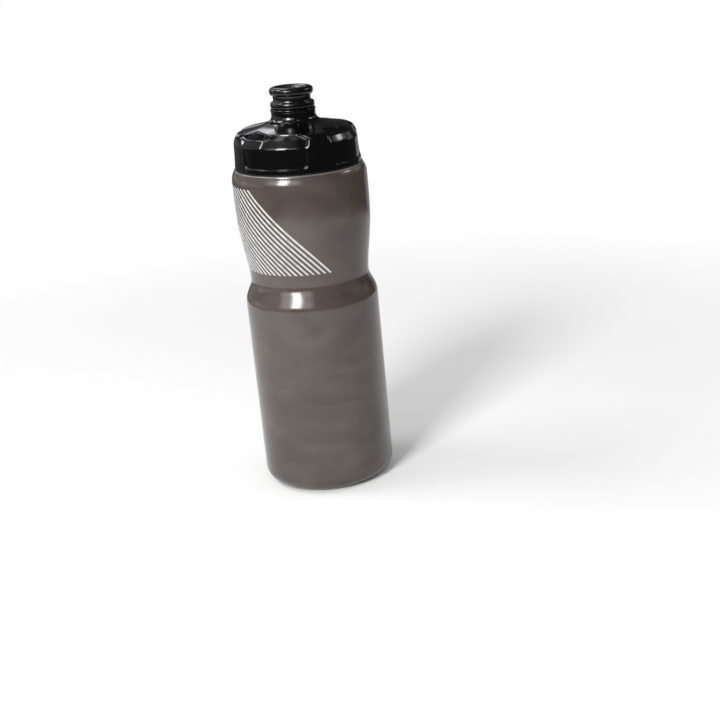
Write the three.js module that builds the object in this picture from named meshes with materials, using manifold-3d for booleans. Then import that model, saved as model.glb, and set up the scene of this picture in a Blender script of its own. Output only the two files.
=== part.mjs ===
// A squeezable sports water bottle: a translucent waisted body with a threaded neck, a screw lid
// with four grip pockets, and a push-pull spout that closes on a post in the lid.
// Millimetres, +Z up, origin at the centre of the base. Azimuth 0 faces -Y and grows towards +X.
import * as THREE from "three";
import { mergeVertices } from "three/addons/utils/BufferGeometryUtils.js";
import Module from "manifold-3d";

const wasm = await Module();
wasm.setup();

// Gaps shared by several pieces
const seatGap = 0.3; // between faces that rest on each other
const slideGap = 0.35; // radial, between the spout and the lid's bore
const threadGap = 0.6; // radial, between a thread's crest and the wall it faces
const threadPlay = 0.5; // along the axis, between the flanks of the two threads
const oringGap = 0.15; // between the O-ring and its groove
const overrun = 1; // how far a piece that gets joined reaches into the other

// Bottle body
const bodyRadius = 37;
const bodyWall = 1.3;
const bodyFloor = 1.8;
const baseCorner = 8; // radius of the rounded edge of the base
const standingRing = 4; // width of the flat ring that the bottle stands on
const baseDishDepth = 4;
const lowerHeight = 108; // base to the top of the straight lower part
const waistStep = 13; // from there up to the narrowest level
const waistDepth = 4; // how far the waist draws in
const taperHeight = 54.8; // waist to the widest level of the upper part
const shoulderRise = 6.9; // from there up to the ledge that the lid closes on
const ledgeInset = 1.7; // from the widest radius in to the ledge's rim
const ledgeEdge = 0.5; // rounding of the ledge's rim
const ledgeWall = 1.8;
const neckInset = 7; // from the widest radius in to the neck
const neckWall = 2;
const neckReach = 1.3; // how far the neck rises past the lid's straight skirt
const lipEdge = 0.5;

// Screw thread, right-handed, one start
const threadPitch = 6;
const threadDepth = 1.4;
const threadRootWidth = 2.4;
const threadCrestWidth = 1.1;
const threadTurns = 1.25;
const lidThreadStartTurn = 0.2; // where the lid's thread begins, in turns after the neck's

// Lid
const lidWall = 2.5;
const lidDraft = 0.35; // the skirt narrows by this up to its shoulder
const lidRimEdge = 0.4;
const skirtHeight = 13.6;
const lidShoulderRise = 7; // skirt to the dome's edge
const lidShoulderInset = 4.6; // skirt in to the dome's edge
const domeRise = 4.4;
const spoutNeckRadius = 12;
const spoutFlare = 4; // height over which the dome sweeps up into the spout neck
const spoutNeckStraight = 1.74;
const spoutBeadHeight = 1.7;
const spoutBead = 0.2; // how far the bead round the spout neck's mouth stands out
const roofWall = 1.7;

// Grip pockets in the lid
const pocketCount = 4;
const pocketFoot = 3; // lower edge, above the lid's rim
const pocketDepth = 0.9;
const panelRise = 0.35; // from the skirt's top up to the top of a pocket's upright panel
const chamferRise = 4; // of the steep chamfer above the panel
const chamferInset = 2.1;
const stepHeight = 0.55; // where a pocket's top ends in the dome
const stepLean = 0.15;
const deepReach = 5.75; // from the dome's edge in to that step, where the pocket reaches deepest
const shallowReach = 0.95; // the same at its other end
const facetRaise = 0.3; // raised facet at one side of each pocket
const landCentreAngle = 21.3; // degrees, middle of the first land

// Seal between the neck's lip and the lid
const gasketThick = 1.7;
const gasketWidth = 4.3;

// Bore of the lid, in which the spout slides
const boreInset = 1.7; // from the spout neck's outside in to the bore
const boreWall = 2.1; // of the tube that hangs from the roof
const boreLip = 1; // how far the bore's mouth narrows to keep the spout in
const boreLipHeight = 2.6;
const spoutTravel = 7;

// Post insert, held in the lower end of the bore
const insertRing = 3;
const insertFlange = 1.2;
const insertWall = 1.8;
const spokeCount = 3;
const spokeWidth = 1.8;
const plugRadius = 3.2;
const plugHeight = 2.6;
const plugRound = 0.7;
const postInset = 0.6; // from the plug's radius in to the post's

// Spout: a hard sleeve, its O-ring and a soft mouthpiece
const sleeveWall = 2.1;
const collarHeight = 1.2; // of each of the two collars that hold the O-ring
const oringSection = 1.5;
const barbReach = 0.8; // the sleeve's barb that holds the mouthpiece
const barbHeight = 2;
const mouthWall = 0.85;
const flangeReach = 1.9; // from the mouthpiece's waist out to its flange
const flangeThick = 3.4;
const mouthWaist = 3.3; // height between the flange and the head
const headReach = 1.75; // from the waist out to the head
const headHeight = 4.6;
const rimInset = 2.45; // from the head's widest circle in to its highest
const mouthDish = 1.2; // depth of the dished top
const mouthRoofThick = 2;

// Facets of the round pieces
const bodyFacets = 40;
const spoutFacets = 32;

const TURN = 2 * Math.PI;
const { lerp } = THREE.MathUtils;

// Places on the body
const neckRadius = bodyRadius - neckInset;
const ledgeRadius = bodyRadius - ledgeInset;
const dishRadius = bodyRadius - baseCorner - standingRing;
const waistHeight = lowerHeight + waistStep;
const shoulderHeight = waistHeight + taperHeight;
const ledgeHeight = shoulderHeight + shoulderRise;
const neckHeight = skirtHeight + neckReach;
const neckTop = ledgeHeight + neckHeight;

// Places on the lid: heights are above its rim
const lidFoot = ledgeHeight + seatGap;
const lidBore = neckRadius + threadDepth + threadGap;
const lidRadius = lidBore + lidWall;
const lidSkirtRadius = lidRadius - lidDraft;
const domeRadius = lidSkirtRadius - lidShoulderInset;
const domeFoot = skirtHeight + lidShoulderRise;
const gasketFoot = neckHeight;
const gasketRadius = neckRadius + threadGap;
const gasketHole = gasketRadius - gasketWidth;
const gasketSeat = gasketFoot + gasketThick + seatGap;
const seatRadius = gasketRadius + seatGap;

// The dome as shares of its width and rise: nearly straight, steeper towards the spout neck
const domeSlopeShare = 0.72;
const domePower = 6;
const flareStartShare = 0.8;
const domeAt = (share) => [
  lerp(domeRadius, spoutNeckRadius, share),
  domeFoot + domeRise * (domeSlopeShare * share + (1 - domeSlopeShare) * share ** domePower),
];
const [flareRadius, flareFoot] = domeAt(flareStartShare);
const flareTop = flareFoot + spoutFlare;
const spoutNeckTop = flareTop + spoutNeckStraight + spoutBeadHeight;

// Places on the spout and its bore
const boreRadius = spoutNeckRadius - boreInset;
const boreLipRadius = boreRadius - boreLip;
const boreTubeRadius = boreRadius + boreWall;
const boreLipFoot = spoutNeckTop - boreLipHeight;
const oringGroove = oringSection + 2 * oringGap;
const collarTop = boreLipFoot - seatGap - spoutTravel;
const sleeveFoot = collarTop - 2 * collarHeight - oringGroove;
const insertTop = sleeveFoot - seatGap;
const boreFoot = insertTop - insertRing;
const insertFoot = boreFoot - seatGap - insertFlange;
const insertRadius = boreRadius - seatGap;
const insertHole = insertRadius - insertWall;
const sleeveRadius = boreLipRadius - slideGap;
const sleeveBore = sleeveRadius - sleeveWall;
const collarRadius = boreRadius - slideGap;
const grooveRadius = collarRadius - oringGroove;
const mouthFoot = spoutNeckTop + seatGap;
const mouthTop = mouthFoot + flangeThick + mouthWaist + headHeight;
const dishFoot = mouthTop - mouthDish;
const mouthRoof = dishFoot - mouthRoofThick;
const sleeveTop = mouthRoof - seatGap;
const mouthBore = sleeveRadius + seatGap;
const mouthWaistRadius = mouthBore + mouthWall;
const headRadius = mouthWaistRadius + headReach;
const rimRadius = headRadius - rimInset;
const mouthHole = plugRadius + seatGap;
const plugTop = dishFoot + seatGap;

const toSolid = (geometry) => {
  const bare = geometry.index ? geometry.toNonIndexed() : geometry.clone();
  for (const name of Object.keys(bare.attributes)) {
    if (name !== "position") bare.deleteAttribute(name);
  }
  const merged = mergeVertices(bare);
  return new wasm.Manifold(
    new wasm.Mesh({
      numProp: 3,
      vertProperties: merged.attributes.position.array,
      triVerts: new Uint32Array(merged.index.array),
    }),
  );
};

const fromSolid = (solid) => {
  const mesh = solid.getMesh();
  const geometry = new THREE.BufferGeometry();
  geometry.setAttribute("position", new THREE.BufferAttribute(mesh.vertProperties, 3));
  geometry.setIndex(new THREE.BufferAttribute(mesh.triVerts, 1));
  const flat = geometry.toNonIndexed();
  flat.computeVertexNormals();
  return flat;
};

// Turns [radius, height] pairs about the Z axis. They run up the outside and down the inside.
const turned = (profile, facets) => {
  const points = profile.map(([radius, height]) => new THREE.Vector2(radius, height));
  return new THREE.LatheGeometry(points, facets).rotateX(Math.PI / 2);
};

const closed = (profile) => [...profile, profile[0]];

// Points of an elliptical arc in the [radius, height] plane, from one angle to another
const arc = ([radius, height], across, along, from, to, steps) =>
  Array.from({ length: steps + 1 }, (_, i) => {
    const angle = from + ((to - from) * i) / steps;
    return [radius + across * Math.cos(angle), height + along * Math.sin(angle)];
  });

// A helical ridge. It stands on the radius root, reaches the radius crest and fades out at its ends.
const threadRidge = (root, crest, startHeight, startTurn) => {
  const steps = Math.round(threadTurns * bodyFacets);
  const fadeSteps = 3;
  const sunk = root + Math.sign(root - crest) * overrun;
  const positions = [];
  for (let i = 0; i <= steps; i++) {
    const turn = startTurn + (threadTurns * i) / steps;
    const fade = Math.min(1, i / fadeSteps, (steps - i) / fadeSteps);
    const tip = lerp(root, crest, fade);
    const section = [
      [sunk, -threadRootWidth / 2],
      [root, -threadRootWidth / 2],
      [tip, -threadCrestWidth / 2],
      [tip, threadCrestWidth / 2],
      [root, threadRootWidth / 2],
      [sunk, threadRootWidth / 2],
    ];
    if (crest < root) section.reverse();
    for (const [radius, rise] of section) {
      const azimuth = turn * TURN;
      const height = startHeight + threadPitch * turn + rise;
      positions.push(radius * Math.sin(azimuth), -radius * Math.cos(azimuth), height);
    }
  }
  const sides = 6;
  const index = [];
  for (let i = 0; i < steps; i++) {
    for (let k = 0; k < sides; k++) {
      const a = i * sides + k;
      const b = i * sides + ((k + 1) % sides);
      index.push(a, a + sides, b, b, a + sides, b + sides);
    }
  }
  const last = steps * sides;
  for (let k = 1; k < sides - 1; k++) {
    index.push(0, k, k + 1);
    index.push(last, last + k + 1, last + k);
  }
  const geometry = new THREE.BufferGeometry();
  geometry.setAttribute("position", new THREE.Float32BufferAttribute(positions, 3));
  geometry.setIndex(index);
  return geometry;
};

// The neck's thread is centred in the neck's height. The lid's lies one flank below it.
const neckThreadStart = (neckHeight - threadTurns * threadPitch) / 2;
const flankDepthShare = (threadDepth + threadGap) / 2 / threadDepth;
const flankWidth = lerp(threadRootWidth, threadCrestWidth, flankDepthShare);
const lidThreadStart = neckThreadStart - seatGap - flankWidth - threadPlay;

// Outer radius of the body between the base's corner and the shoulder
const bodyRadiusAt = (height) => {
  if (height <= lowerHeight) return bodyRadius;
  if (height <= waistHeight) {
    const share = (height - lowerHeight) / waistStep;
    return bodyRadius - (waistDepth * (1 - Math.cos(Math.PI * share))) / 2;
  }
  const share = (shoulderHeight - height) / taperHeight;
  return bodyRadius - waistDepth * share ** 4 * (5 - 4 * share);
};

const stepShares = [0, 0.15, 0.3, 0.45, 0.6, 0.75, 0.88];
const taperShares = [0, 0.06, 0.13, 0.22, 0.34, 0.48, 0.64, 0.82];
const waistLevels = [
  ...stepShares.map((share) => lowerHeight + share * waistStep),
  ...taperShares.map((share) => waistHeight + share * taperHeight),
];

// The base rises in a shallow dish inside its standing ring.
const dishShares = [0, 0.3, 0.55, 0.8];
const dishAt = (share) => [share * dishRadius, (baseDishDepth * (1 + Math.cos(Math.PI * share))) / 2];
const cornerCentre = [bodyRadius - baseCorner, baseCorner];

const bodyOutside = () => {
  const shoulderShares = [0, 0.3, 0.5, 0.7, 0.85];
  const roundPower = 2.5;
  const rise = shoulderRise - ledgeEdge;
  return [
    ...dishShares.map(dishAt),
    [dishRadius, 0],
    ...arc(cornerCentre, baseCorner, baseCorner, -Math.PI / 2, 0, 4),
    ...waistLevels.map((height) => [bodyRadiusAt(height), height]),
    ...shoulderShares.map((share) => [
      bodyRadius - ledgeInset * share ** roundPower,
      shoulderHeight + rise * share,
    ]),
    ...arc([ledgeRadius - ledgeEdge, ledgeHeight - ledgeEdge], ledgeEdge, ledgeEdge, 0, Math.PI / 2, 2),
    [neckRadius, ledgeHeight],
    [neckRadius, neckTop - lipEdge],
    [neckRadius - lipEdge, neckTop],
  ];
};

const bodyInside = () => {
  const mouthRadius = neckRadius - neckWall;
  const width = bodyRadius - bodyWall - mouthRadius;
  const rise = shoulderRise - ledgeWall;
  const squarePower = 0.5;
  const shoulderAngles = [0, Math.PI / 6, Math.PI / 3, Math.PI / 2];
  return [
    [mouthRadius, neckTop],
    ...shoulderAngles.map((angle) => [
      mouthRadius + width * Math.sin(angle) ** squarePower,
      shoulderHeight + rise * Math.cos(angle) ** squarePower,
    ]),
    ...waistLevels
      .filter((_, i) => i % 2 === 0)
      .reverse()
      .map((height) => [bodyRadiusAt(height) - bodyWall, height]),
    ...arc(cornerCentre, baseCorner - bodyWall, baseCorner - bodyFloor, 0, -Math.PI / 2, 3),
    ...[1, ...[...dishShares].reverse()].map((share) => {
      const [radius, height] = dishAt(share);
      return [radius, height + bodyFloor];
    }),
  ];
};

const makeBody = () => {
  const shell = turned([...bodyOutside(), ...bodyInside()], bodyFacets);
  const ridge = threadRidge(neckRadius, neckRadius + threadDepth, ledgeHeight + neckThreadStart, 0);
  return fromSolid(toSolid(shell).add(toSolid(ridge)));
};

// The lid is a grid of rows and columns. Each row has a point on the lands between the pockets and,
// where it differs, a point on the pockets' floor. Both depend on the dome's share at which the
// column meets the step. A row's angles, in degrees, are the land's reach to both sides of its
// middle, the width of the pocket's side walls and the place of the raised facet's end.
const roundAngles = [15, 15, 2, 33];
const stepAngles = [19.8, 12.6, 2, 31.2];
const smoothRows = (points) => points.map((point) => ({ land: () => point, angles: roundAngles }));

const lidSkirtRows = () => {
  const wallFoot = pocketFoot + pocketDepth / 2;
  const draftAt = (height) => lidRadius - (lidDraft * height) / skirtHeight;
  return [
    ...smoothRows([
      [lidRadius - lidRimEdge, 0],
      [lidRadius, lidRimEdge],
      [draftAt(pocketFoot), pocketFoot],
    ]),
    {
      land: () => [draftAt(wallFoot), wallFoot],
      pocket: () => [draftAt(wallFoot) - pocketDepth, wallFoot],
      angles: [14.6, 13, 2.5, 33],
    },
  ];
};

// A land's shoulder is round. A pocket has a steep chamfer and a flatter top there, and ends in a
// low step.
const landShoulderShares = [[0, 0], [0.02, 0.6], [0.38, 0.93], [1, 1]];
const landShoulder = new THREE.CubicBezierCurve(
  ...landShoulderShares.map(
    ([inset, rise]) =>
      new THREE.Vector2(lidSkirtRadius - lidShoulderInset * inset, skirtHeight + lidShoulderRise * rise),
  ),
);

const lidShoulderRows = () => {
  const panelDepthShare = 0.78;
  const panelTop = [lidSkirtRadius - pocketDepth * panelDepthShare, skirtHeight + panelRise];
  const chamferTop = [panelTop[0] - chamferInset, panelTop[1] + chamferRise];
  const stepFoot = (stepShare) => {
    const [radius, height] = domeAt(stepShare);
    return [radius + stepLean, height - stepHeight];
  };
  const between = (from, to, share) => from.map((value, i) => lerp(value, to[i], share));
  const land = (share) => () => landShoulder.getPoint(share).toArray();
  const chamfer = (share) => () => between(panelTop, chamferTop, share);
  const top = (share) => (stepShare) => between(chamferTop, stepFoot(stepShare), share);
  return [
    { land: land(0.08), pocket: chamfer(0), angles: [10.5, 9, 3.8, 33], raiseShare: 0.5 },
    { land: land(0.3), pocket: chamfer(0.5), angles: [9.8, 8.5, 3.5, 34.1], raiseShare: 1 },
    { land: land(0.55), pocket: chamfer(1), angles: [9, 8, 3.2, 35.2], raiseShare: 1 },
    { land: land(0.78), pocket: top(0.33), angles: [12.6, 9.5, 2.8, 34.8], raiseShare: 1 },
    { land: land(1), pocket: top(0.67), angles: [16.2, 11.1, 2.4, 33.4], raiseShare: 1 },
    { land: domeAt, pocket: stepFoot, angles: stepAngles },
  ];
};

const lidDomeRows = () => {
  const flareShares = [0.04, 0.35, 0.7];
  const flare = arc(
    [flareRadius, flareTop], spoutNeckRadius - flareRadius, flareFoot - flareTop, Math.PI / 2, 0, 3,
  );
  return [
    ...flareShares.map((share) => ({
      land: (stepShare) => domeAt(lerp(stepShare, flareStartShare, share)),
      angles: stepAngles,
    })),
    ...smoothRows([[flareRadius, flareFoot], ...flare.slice(1)]),
  ];
};

const spoutNeckRows = () => {
  const beadShares = [0.3, 0.7];
  const beadFoot = spoutNeckTop - spoutBeadHeight;
  return smoothRows([
    [spoutNeckRadius, beadFoot],
    ...beadShares.map((share) => [spoutNeckRadius + spoutBead, beadFoot + spoutBeadHeight * share]),
    [spoutNeckRadius - spoutBead, spoutNeckTop],
  ]);
};

const shareAcrossDome = (reach) => reach / (domeRadius - spoutNeckRadius);

const lidInsideRows = () => {
  const [edgeRadius, edgeHeight] = domeAt(shareAcrossDome(deepReach));
  return smoothRows([
    [boreLipRadius, spoutNeckTop],
    [boreLipRadius, boreLipFoot],
    [boreRadius, boreLipFoot],
    [boreRadius, boreFoot],
    [boreTubeRadius, boreFoot],
    [boreTubeRadius, flareFoot - roofWall],
    [edgeRadius - roofWall, edgeHeight - stepHeight - roofWall],
    [gasketHole, gasketSeat],
    [seatRadius, gasketSeat],
    [seatRadius, gasketFoot],
    [lidBore, gasketFoot - threadGap],
    [lidBore, lidRimEdge],
    [lidBore + lidRimEdge, 0],
  ]);
};

// Columns of one land and the pocket after it. The step starts at the pocket's deep end and comes
// out towards its shallow end.
const landStepShares = [1, 0.74, 0.26, 0];
const facetStepShares = [0, 0.22, 0.42];
const floorStepShares = [0.45, 0.72, 0.9, 1, 1];
const creaseHalfAngle = 0.75;

const lidColumns = (sector) => {
  const pocketTurn = 360 / pocketCount;
  const deepShare = shareAcrossDome(deepReach);
  const shallowShare = shareAcrossDome(shallowReach);
  const columns = (surface, shares, ends) =>
    shares.map((share, i) => ({
      surface,
      stepShare: lerp(deepShare, shallowShare, share),
      angleAt: (row) => {
        const [from, to] = ends(...row.angles);
        const along = lerp(from, to, i / (shares.length - 1));
        return THREE.MathUtils.degToRad(landCentreAngle + sector * pocketTurn + along);
      },
    }));
  return [
    ...columns("land", landStepShares, (before, after) => [-before, after]),
    ...columns("facet", facetStepShares, (before, after, wall, crease) => [
      after + wall,
      crease - creaseHalfAngle,
    ]),
    ...columns("floor", floorStepShares, (before, after, wall, crease) => [
      crease + creaseHalfAngle,
      pocketTurn - before - wall,
    ]),
  ];
};

const lidPoint = (row, column) => {
  const surface = column.surface === "land" ? row.land : (row.pocket ?? row.land);
  const [radius, height] = surface(column.stepShare);
  const raiseShare = column.surface === "facet" ? (row.raiseShare ?? 0) : 0;
  const raise = raiseShare * facetRaise * Math.SQRT1_2;
  const azimuth = column.angleAt(row);
  const out = radius + raise;
  return [out * Math.sin(azimuth), -out * Math.cos(azimuth), height + raise];
};

const makeLid = () => {
  const rows = [
    ...lidSkirtRows(),
    ...lidShoulderRows(),
    ...lidDomeRows(),
    ...spoutNeckRows(),
    ...lidInsideRows(),
  ];
  const columns = Array.from({ length: pocketCount }, (_, sector) => lidColumns(sector)).flat();
  const positions = rows.flatMap((row) => columns.flatMap((column) => lidPoint(row, column)));
  const index = [];
  for (let i = 0; i < rows.length; i++) {
    for (let k = 0; k < columns.length; k++) {
      const nextRow = ((i + 1) % rows.length) * columns.length;
      const nextColumn = (k + 1) % columns.length;
      const a = i * columns.length + k;
      const b = i * columns.length + nextColumn;
      const c = nextRow + nextColumn;
      const d = nextRow + k;
      index.push(a, b, c, a, c, d);
    }
  }
  const shell = new THREE.BufferGeometry();
  shell.setAttribute("position", new THREE.Float32BufferAttribute(positions, 3));
  shell.setIndex(index);
  const ridge = threadRidge(lidBore, lidBore - threadDepth, lidThreadStart, lidThreadStartTurn);
  return fromSolid(toSolid(shell).add(toSolid(ridge)));
};

const makeGasket = () =>
  turned(
    closed([
      [gasketRadius, gasketFoot],
      [gasketRadius, gasketFoot + gasketThick],
      [gasketHole, gasketFoot + gasketThick],
      [gasketHole, gasketFoot],
    ]),
    bodyFacets,
  );

const makeValvePost = () => {
  const flangeTop = insertFoot + insertFlange;
  const ring = turned(
    closed([
      [boreTubeRadius, insertFoot],
      [boreTubeRadius, flangeTop],
      [insertRadius, flangeTop],
      [insertRadius, insertTop],
      [insertHole, insertTop],
      [insertHole, insertFoot],
    ]),
    spoutFacets,
  );
  const postRadius = plugRadius - postInset;
  const plugFoot = plugTop - plugHeight;
  const post = turned(
    [
      [0, insertFoot],
      [postRadius, insertFoot],
      [postRadius, plugFoot - postInset],
      [plugRadius, plugFoot],
      [plugRadius, plugTop - plugRound],
      [plugRadius - plugRound, plugTop],
      [0, plugTop],
    ],
    spoutFacets,
  );
  const spokeLength = (insertHole + insertRadius) / 2;
  const spokeHeight = insertTop - insertFoot;
  let solid = toSolid(ring).add(toSolid(post));
  for (let i = 0; i < spokeCount; i++) {
    const spoke = new THREE.BoxGeometry(spokeLength, spokeWidth, spokeHeight)
      .translate(spokeLength / 2, 0, insertFoot + spokeHeight / 2)
      .rotateZ((i * TURN) / spokeCount);
    solid = solid.add(toSolid(spoke));
  }
  return fromSolid(solid);
};

const makeSleeve = () => {
  const grooveFoot = sleeveFoot + collarHeight;
  const grooveTop = grooveFoot + oringGroove;
  return turned(
    closed([
      [collarRadius, sleeveFoot],
      [collarRadius, grooveFoot],
      [grooveRadius, grooveFoot],
      [grooveRadius, grooveTop],
      [collarRadius, grooveTop],
      [collarRadius, collarTop],
      [sleeveRadius, collarTop],
      [sleeveRadius, sleeveTop - barbHeight],
      [sleeveRadius + barbReach, sleeveTop - barbHeight],
      [sleeveRadius, sleeveTop],
      [sleeveBore, sleeveTop],
      [sleeveBore, sleeveFoot],
    ]),
    spoutFacets,
  );
};

const makeOring = () => {
  const sectionRadius = oringSection / 2;
  const middle = sleeveFoot + collarHeight + oringGroove / 2;
  const centre = [grooveRadius + oringGap + sectionRadius, middle];
  const section = arc(centre, sectionRadius, sectionRadius, 0, TURN, 8).slice(0, -1);
  return turned(closed(section), spoutFacets);
};

const makeMouthpiece = () => {
  const flangeEdge = flangeReach / 2;
  const flangeCentre = [mouthWaistRadius + flangeReach - flangeEdge, mouthFoot + flangeThick / 2];
  const flange = arc(flangeCentre, flangeEdge, flangeThick / 2, -Math.PI / 2, Math.PI / 2, 5);
  const headFoot = mouthTop - headHeight;
  const headMiddleShare = 0.54;
  const headMiddle = headFoot + headHeight * headMiddleShare;
  const underHead = arc(
    [mouthWaistRadius, headMiddle], headReach, headMiddle - headFoot, -Math.PI / 2, 0, 3,
  );
  const overHead = arc([rimRadius, headMiddle], rimInset, mouthTop - headMiddle, 0, Math.PI / 2, 4);
  const dishMiddleShares = [0.5, 0.25];
  const barbFoot = sleeveTop - barbHeight - seatGap;
  return turned(
    closed([
      [mouthBore, mouthFoot],
      ...flange,
      [mouthWaistRadius, mouthFoot + flangeThick + seatGap],
      ...underHead,
      ...overHead.slice(1),
      [
        lerp(mouthHole, rimRadius, dishMiddleShares[0]),
        dishFoot + mouthDish * dishMiddleShares[1],
      ],
      [mouthHole, dishFoot],
      [mouthHole, mouthRoof],
      [mouthBore, mouthRoof],
      [mouthBore + barbReach, barbFoot + seatGap],
      [mouthBore + barbReach, barbFoot],
      [mouthBore, barbFoot],
    ]),
    spoutFacets,
  );
};

// Materials
const plastic = (color, roughness, more = {}) =>
  new THREE.MeshStandardMaterial({ color, roughness, metalness: 0, ...more });
const smoke = plastic(0x524b46, 0.35, { transparent: true, opacity: 0.72 });
const glossBlack = plastic(0x0d0d0e, 0.16);
const softBlack = plastic(0x1b1b1c, 0.42);
const sealGrey = plastic(0x3a3a3c, 0.6);

const bottle = new THREE.Group();
const lid = new THREE.Group();
lid.position.z = lidFoot;
bottle.add(lid);

const place = (group, name, geometry, material) => {
  const mesh = new THREE.Mesh(geometry, material);
  mesh.name = name;
  group.add(mesh);
};

place(bottle, "bottle_body", makeBody(), smoke);
place(lid, "cap_shell", makeLid(), glossBlack);
place(lid, "lid_gasket", makeGasket(), sealGrey);
place(lid, "valve_post", makeValvePost(), glossBlack);
place(lid, "nozzle_sleeve", makeSleeve(), glossBlack);
place(lid, "nozzle_oring", makeOring(), sealGrey);
place(lid, "mouthpiece", makeMouthpiece(), softBlack);

export default bottle;
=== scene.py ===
import bisect
import math

import bmesh
import bpy
from mathutils import Matrix, Vector


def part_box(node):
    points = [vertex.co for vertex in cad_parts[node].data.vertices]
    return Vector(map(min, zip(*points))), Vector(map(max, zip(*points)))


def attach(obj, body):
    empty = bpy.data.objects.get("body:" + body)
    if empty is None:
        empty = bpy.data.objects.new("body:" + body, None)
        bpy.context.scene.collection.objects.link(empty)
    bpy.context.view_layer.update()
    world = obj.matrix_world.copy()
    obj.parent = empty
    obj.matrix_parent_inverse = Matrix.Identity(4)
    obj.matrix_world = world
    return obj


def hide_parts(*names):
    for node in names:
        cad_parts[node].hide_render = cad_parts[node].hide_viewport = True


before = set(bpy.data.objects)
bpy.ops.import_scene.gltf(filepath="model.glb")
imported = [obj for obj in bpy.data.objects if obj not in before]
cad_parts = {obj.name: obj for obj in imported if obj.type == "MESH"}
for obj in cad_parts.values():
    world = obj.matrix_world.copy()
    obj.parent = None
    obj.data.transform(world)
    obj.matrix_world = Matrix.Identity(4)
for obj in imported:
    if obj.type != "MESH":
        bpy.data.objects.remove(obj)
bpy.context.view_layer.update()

# A squeezable sports water bottle: a smoke-coloured waisted body with printed stripes, a glossy
# screw lid with four grip pockets, and a push-pull spout with a soft mouthpiece.
# Shapes are worked out in millimetres and become metres in add_mesh. Azimuth 0 faces -Y and
# grows towards +X. Heights of the lid and spout are above the lid's foot.
MM = 0.001
TURN = 2 * math.pi

_, body_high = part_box("bottle_body")
lid_low, lid_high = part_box("cap_shell")
seal_low, seal_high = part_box("lid_gasket")
_, post_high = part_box("valve_post")
mouth_low, mouth_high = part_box("mouthpiece")

# Body. The powers shape the taper above the waist, the rounding up to the ledge, and the inside of
# the shoulder.
BODY_RADIUS = body_high.x / MM
NECK_TOP = body_high.z / MM
BODY_WALL = 1.3
BODY_FLOOR = 1.8
BASE_CORNER = 8
STANDING_RING = 4
DISH_DEPTH = 4
LOWER_HEIGHT = 108
WAIST_STEP = 13
WAIST_DEPTH = 4
TAPER_HEIGHT = 54.8
TAPER_POWER = 4
SHOULDER_POWER = 2.5
INSIDE_POWER = 0.5
WAIST_HEIGHT = LOWER_HEIGHT + WAIST_STEP
SHOULDER_HEIGHT = WAIST_HEIGHT + TAPER_HEIGHT
LEDGE_HEIGHT = 182.7
LEDGE_INSET = 1.7
LEDGE_EDGE = 0.7
LEDGE_WALL = 1.8
LEDGE_RADIUS = BODY_RADIUS - LEDGE_INSET
DISH_RADIUS = BODY_RADIUS - BASE_CORNER - STANDING_RING
NECK_RADIUS = 30
MOUTH_RADIUS = 28
LIP_EDGE = 0.5
NECK_FILLET = 0.5

# Stretches of the body's wall as (foot, top, spacing of the rings), finer where it curves more
WALL_STRETCHES = [
    (BASE_CORNER, LOWER_HEIGHT, 6),
    (LOWER_HEIGHT, WAIST_HEIGHT, 0.9),
    (WAIST_HEIGHT, SHOULDER_HEIGHT, 1.4),
    (SHOULDER_HEIGHT, LEDGE_HEIGHT - LEDGE_EDGE, 0.5),
]
DISH_RINGS = 24

# Thread, with its steps a turn, the steps over which it fades out at its ends, how thin it starts,
# and how deep its root is buried in the wall
THREAD_PITCH = 6
THREAD_DEPTH = 1.4
THREAD_ROOT = 2.4
THREAD_CREST = 1.1
THREAD_TURNS = 1.25
THREAD_STEPS = 128
THREAD_FADE = 14
THREAD_THINNEST = 0.02
THREAD_SUNK = 0.8
NECK_THREAD_START = LEDGE_HEIGHT + 3.7
LID_THREAD_START = 1.43
LID_THREAD_TURN = 0.2

# Lid
LID_FOOT = lid_low.z / MM
LID_TOP = lid_high.z / MM - LID_FOOT
LID_RADIUS = 34.5
LID_BORE = 32
LID_DRAFT = 0.35
RIM_EDGE = 0.4
SKIRT_START = 1.5
SKIRT_HEIGHT = 13.6
DOME_RADIUS = 29.55
DOME_FOOT = 20.6
DOME_RISE = 4.4
DOME_CONE = 0.72
DOME_POWER = 6
SPOUT_NECK_RADIUS = 12
FLARE_TOP = 27.6
FLARE_RADIUS = 19
FLARE_REACH = 4.6
FLARE_RISE = 2.8
BEAD_HEIGHT = 1.7
BEAD_SLOPE = 0.5
BEAD = 0.2
BORE_RADIUS = 10.3
BORE_LIP_RADIUS = 9.3
BORE_LIP_FOOT = 28.3
BORE_TUBE_RADIUS = 12.4
BORE_FOOT = 13.5
ROOF_WALL = 1.7
ROOF_EDGE = 22.7
ROOF_THICKENING = 0.4
SEAT_HEIGHT = 16.9
SEAT_RADIUS = 30.9
SEAT_WIDTH = 4.6
SEAT_WALL = 2
SEAT_LEAD = 0.6
SEAT_EDGE = 0.3
SEAL_WIDTH = 4.3
SEAL_EDGE = 0.35

# Handles of the curve over the shoulder, as (radius, height) from the skirt's top and from the
# dome's edge
SHOULDER_HANDLES = ((-0.11, 4.2), (2.85, -0.52))

# Grip pockets, between raised lands. Stations go up the pocket's outline: 1 is its lower edge, 2
# the panel's foot, 3 the panel's top, 4 the chamfer's top, 5 and 6 the step's foot and top, and 7
# the dome's inner part.
POCKETS = 4
LAND_CENTRE = 21.3
POCKET_START = 1.6
POCKET_FOOT = 2.75
POCKET_CORNER = 1.6
PANEL_FOOT = 3.05
PANEL_TOP = 13.95
PANEL_RADIUS = 33.45
PANEL_LEAN = 0.15
CHAMFER_TOP = (31.2, 17.95)
STEP_HEIGHT = 0.55
STEP_LEAN = 0.15
DOME_INNER = 21.5
FACET_RAISE = 0.3
CREASE_WIDTH = 0.9

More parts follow.
